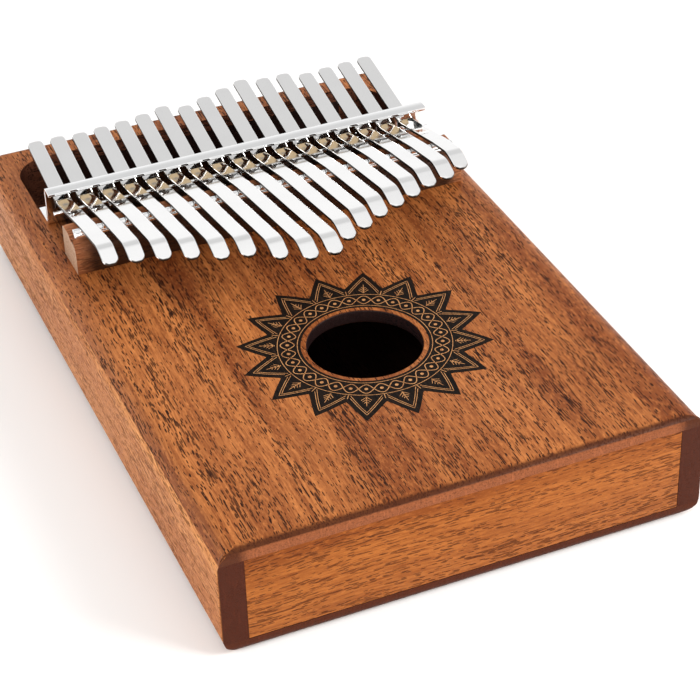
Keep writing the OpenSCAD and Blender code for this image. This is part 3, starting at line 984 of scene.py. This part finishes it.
def dress_screws():
    """The CAD screws stay, with softened edges and a steel finish."""
    screws = frame["nodes"]["bracket_screws"]
    modifier = screws.modifiers.new("soft_edges", "BEVEL")
    modifier.width = 0.12 * MM
    modifier.segments = 2
    modifier.limit_method = "ANGLE"
    modifier.angle_limit = math.radians(50)
    screws.data.materials.clear()
    screws.data.materials.append(SCREW_STEEL)


# ---------- tines ----------

EDGE_R = 0.25
# Distances in from a side where the mesh has a line, and in from a rounded end where it has a row
TINE_COLUMNS = (0.0, 0.045, 0.13, 0.26, 0.30)
CAP_STOPS = (0.0, 0.04, 0.12, 0.26, 0.5, 0.85, 1.25, 1.7, 2.1)
# The stretch on each side of the joint over which a tine bends
JOINT_REACH = 1.5


def forward(point, heading, length):
    """The point at a length from another along a heading."""
    return (point[0] + length * math.cos(heading), point[1] + length * math.sin(heading))


def tine_path(i):
    """Centre line of a tine in (y, z) with headings, from its rear end to its thumb end."""
    rear_y = node_box(f"tine_heel_{i}")[1].y
    tip_y = node_box(f"tine_blade_{i}")[0].y
    hinge = (HINGE_Y, HINGE_Z)
    cross_l = (WEB_Y - HINGE_Y) / math.cos(MID_RISE)
    bend_front = forward(hinge, -MID_RISE, cross_l - BEND_CUT)
    turn = MID_RISE + REAR_RISE
    arc = []
    for k in range(11):
        a = -MID_RISE + turn * k / 10
        arc.append((bend_front[0] + WEB_BEND_R * (math.sin(a) + math.sin(MID_RISE)),
                    bend_front[1] + WEB_BEND_R * (math.cos(MID_RISE) - math.cos(a)), a))
    rear_l = (rear_y - arc[-1][0]) / math.cos(REAR_RISE)
    rear_stops = [rear_l - d for d in CAP_STOPS if d < HEEL_R]
    rear_stops += [rear_l - HEEL_R - 0.3, rear_l / 2, rear_l / 4]
    path = [(*forward(arc[-1][:2], REAR_RISE, s), math.pi + REAR_RISE) for s in rear_stops]
    path += [(y, z, math.pi + a) for y, z, a in reversed(arc)]
    path.append((*forward(hinge, -MID_RISE, (cross_l - BEND_CUT) / 2), math.pi - MID_RISE))
    for s in (JOINT_REACH, 1.0, 0.5):
        path.append((*forward(hinge, -MID_RISE, s), math.pi - MID_RISE))
    path.append((*hinge, math.pi - (MID_RISE + FRONT_RISE) / 2))
    for s in (-0.5, -1.0, -JOINT_REACH):
        path.append((*forward(hinge, -FRONT_RISE, s), math.pi - FRONT_RISE))
    # in front of the joint: straight, then the thumb bend, then the dropped end
    blade_turn = FRONT_RISE + TIP_DROP
    arc_dy = BLADE_BEND_R * (math.sin(FRONT_RISE) + math.sin(TIP_DROP))
    straight = (HINGE_Y - tip_y - arc_dy - BLADE_END_L * math.cos(TIP_DROP)) / math.cos(FRONT_RISE)
    bend = forward(hinge, -FRONT_RISE, -straight)
    for share in (0.3, 0.55, 0.8):
        path.append((*forward(hinge, -FRONT_RISE, -straight * share), math.pi - FRONT_RISE))
    for k in range(13):
        a = -FRONT_RISE + blade_turn * k / 12
        path.append((bend[0] - BLADE_BEND_R * (math.sin(a) + math.sin(FRONT_RISE)),
                     bend[1] + BLADE_BEND_R * (math.cos(a) - math.cos(FRONT_RISE)), math.pi + a))
    end = path[-1]
    tip_stops = [BLADE_END_L - TIP_R - 0.2]
    tip_stops += [BLADE_END_L - d for d in reversed(CAP_STOPS) if d < TIP_R]
    path += [(*forward(end[:2], math.pi + TIP_DROP, s), math.pi + TIP_DROP) for s in tip_stops]
    return path


def tine_mesh(i):
    """One bent strip with rounded ends and softened edges, as a closed mesh."""
    path = tine_path(i)
    run = [0.0]
    for a, b in zip(path, path[1:]):
        run.append(run[-1] + math.hypot(b[0] - a[0], b[1] - a[1]))
    total = run[-1]
    x0 = tine_x(i)
    verts, faces = [], []
    half = TINE_W / 2

    def row(s):
        """Side offsets and half thicknesses across the strip at a distance s from the rear end."""
        to_end, r = min((s, HEEL_R), (total - s, TIP_R))
        d = min(to_end, r)
        width = half - r + math.sqrt(max(r * r - (r - d) ** 2, 0.0))
        offsets = [width - min(q, width * 0.8) for q in TINE_COLUMNS]
        sides = [-u for u in offsets] + [0.0] + list(reversed(offsets))
        out = []
        for u in sides:
            cx = max(abs(u) - (half - r), 0.0)
            inset = r - math.hypot(cx, r - d) if d < r else half - abs(u)
            inset = min(max(inset, 0.0), EDGE_R)
            h = TINE_T / 2 - EDGE_R + math.sqrt(EDGE_R ** 2 - (EDGE_R - inset) ** 2)
            out.append((u, h))
        return out

    rows = [row(s) for s in run]
    n = len(rows[0])
    for (y, z, heading), points in zip(path, rows):
        up = (math.sin(heading), -math.cos(heading))
        verts += [(x0 + u, y + up[0] * h, z + up[1] * h) for u, h in points]
        verts += [(x0 + u, y - up[0] * h, z - up[1] * h) for u, h in points]
    for k in range(len(path) - 1):
        a, b = 2 * n * k, 2 * n * (k + 1)
        for j in range(n - 1):
            faces.append((a + j, a + j + 1, b + j + 1, b + j))
            faces.append((a + n + j, b + n + j, b + n + j + 1, a + n + j + 1))
        faces.append((a, b, b + n, a + n))
        faces.append((a + n - 1, a + 2 * n - 1, b + 2 * n - 1, b + n - 1))
    for j in range(n - 1):
        faces.append((j, n + j, n + j + 1, j + 1))
        e = 2 * n * (len(path) - 1)
        faces.append((e + j, e + j + 1, e + n + j + 1, e + n + j))
    return mesh_object(f"tine_{i}_strip", verts, faces, 50.0)


def dress_edges(tine, i):
    """The sheared sides and ends of a tine are duller than its polished faces, and coloured near black as
    painted shade that draws dark outlines.
    """
    tine.data.materials.append(TINE_EDGE_SHADE)
    x0, half = tine_x(i) * MM, TINE_W / 2 * MM
    flat = math.cos(math.radians(35))
    edge_index = 1
    for face in tine.data.polygons:
        across = Vector((face.normal.x, face.normal.y * 0.2, 0)).length
        steep = abs(face.normal.z) < flat
        at_side = abs(face.center.x - x0) > half - 0.06 * MM and across > 0.6
        at_end = steep and abs(face.normal.y) > 0.6
        if at_side or at_end:
            face.material_index = edge_index


def make_tine(i):
    tine = tine_mesh(i)
    tine.data.materials.append(TINE_STEEL)
    dress_edges(tine, i)
    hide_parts(f"tine_heel_{i}", f"tine_blade_{i}")
    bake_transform(tine)


# ---------- stage, light and camera ----------

def make_stage():
    s = Shader("pale_floor")
    s.bsdf.inputs["Base Color"].default_value = (0.93, 0.93, 0.93, 1.0)
    s.bsdf.inputs["Roughness"].default_value = 0.7
    s.bsdf.inputs["Specular IOR Level"].default_value = 0.2
    half = 6000.0
    corners = [(-half, -half, 0), (half, -half, 0), (half, half, 0), (-half, half, 0)]
    floor = mesh_object("floor", corners, [(0, 1, 2, 3)])
    floor.data.materials.append(s.material)


def make_world():
    """Studio surroundings: white behind, grey above, and towards the viewer dark with a cream band."""
    world = bpy.data.worlds.new("studio")
    bpy.context.scene.world = world
    world.use_nodes = True
    nodes, links = world.node_tree.nodes, world.node_tree.links
    source = nodes.new("ShaderNodeTexCoord")
    split = nodes.new("ShaderNodeSeparateXYZ")
    links.new(source.outputs["Generated"], split.inputs["Vector"])

    def tone_ramp(value, stops):
        ramp = nodes.new("ShaderNodeValToRGB")
        links.new(value, ramp.inputs["Fac"])
        elements = ramp.color_ramp.elements
        elements[0].position, elements[1].position = stops[0][0], stops[-1][0]
        for position, _ in stops[1:-1]:
            elements.new(position)
        for element, (_, tone) in zip(elements, stops):
            element.color = (*tone, 1.0) if isinstance(tone, tuple) else (tone, tone, tone, 1.0)
        return ramp.outputs["Color"]

    cream = (0.64, 0.48, 0.29)
    height = tone_ramp(split.outputs["Z"],
                       [(0.0, 1.0), (0.45, 1.0), (0.68, 0.72), (0.85, 0.70), (0.95, 1.0)])
    low_front = tone_ramp(split.outputs["Z"],
                          [(0.0, 0.02), (0.22, 0.02), (0.32, cream), (0.50, cream),
                           (0.58, 0.25), (0.8, 0.8), (0.95, 1.0)])
    turn = nodes.new("ShaderNodeMapRange")
    turn.inputs["From Min"].default_value = -0.25
    turn.inputs["From Max"].default_value = 0.15
    links.new(split.outputs["Y"], turn.inputs["Value"])
    blend = nodes.new("ShaderNodeMix")
    blend.data_type = "RGBA"
    links.new(turn.outputs["Result"], blend.inputs[0])
    links.new(low_front, blend.inputs[6])
    links.new(height, blend.inputs[7])
    links.new(blend.outputs[2], nodes["Background"].inputs["Color"])
    nodes["Background"].inputs["Strength"].default_value = 1.0


def make_lights():
    """Square softboxes in front of the object, all aimed at its middle."""
    target = Vector((0, 0, 0.02))
    # name, place and side in metres, power in watts
    softboxes = [
        ("left_softbox", (-1.2, -0.55, 0.8), 0.8, 8.5),
        ("front_softbox", (-0.45, -1.35, 0.6), 0.7, 6.0),
        ("right_softbox", (1.15, -0.95, 0.9), 0.8, 26.0),
    ]
    for name, place, side, watts in softboxes:
        light = bpy.data.lights.new(name, "AREA")
        light.shape = "RECTANGLE"
        light.size = side
        light.size_y = side
        light.energy = watts
        obj = add_object(name, light)
        obj.location = place
        obj.rotation_euler = (target - Vector(place)).to_track_quat("-Z", "Y").to_euler()


def make_camera():
    """The camera stands in front and to the left of the thumb end, looking down at about 35 degrees."""
    place = Vector((-182.9, -479.6, 366.5)) * MM
    yaw, pitch, roll = math.radians(22.06), math.radians(35.13), math.radians(-1.89)
    lens, sensor = 111.384, 36.0
    look = Vector((math.sin(yaw) * math.cos(pitch), math.cos(yaw) * math.cos(pitch), -math.sin(pitch)))
    level = Vector((math.cos(yaw), -math.sin(yaw), 0.0))
    lift = level.cross(look)
    right = math.cos(roll) * level + math.sin(roll) * lift
    up = -math.sin(roll) * level + math.cos(roll) * lift
    data = bpy.data.cameras.new("camera")
    data.sensor_width = sensor
    data.lens = lens
    data.clip_start = 0.01
    obj = add_object("camera", data)
    turn = Matrix((right, up, -look)).transposed()
    obj.matrix_world = Matrix.Translation(place) @ turn.to_4x4()
    bpy.context.scene.camera = obj


make_camera()
make_body()
make_block()
make_burn()
make_lines()
make_bridge()
make_rods()
make_bracket()
make_sill()
dress_screws()
for number in range(1, TINES + 1):
    make_tine(number)
make_stage()
make_world()
make_lights()
bpy.context.scene.view_settings.view_transform = "Standard"

bpy.context.view_layer.update()
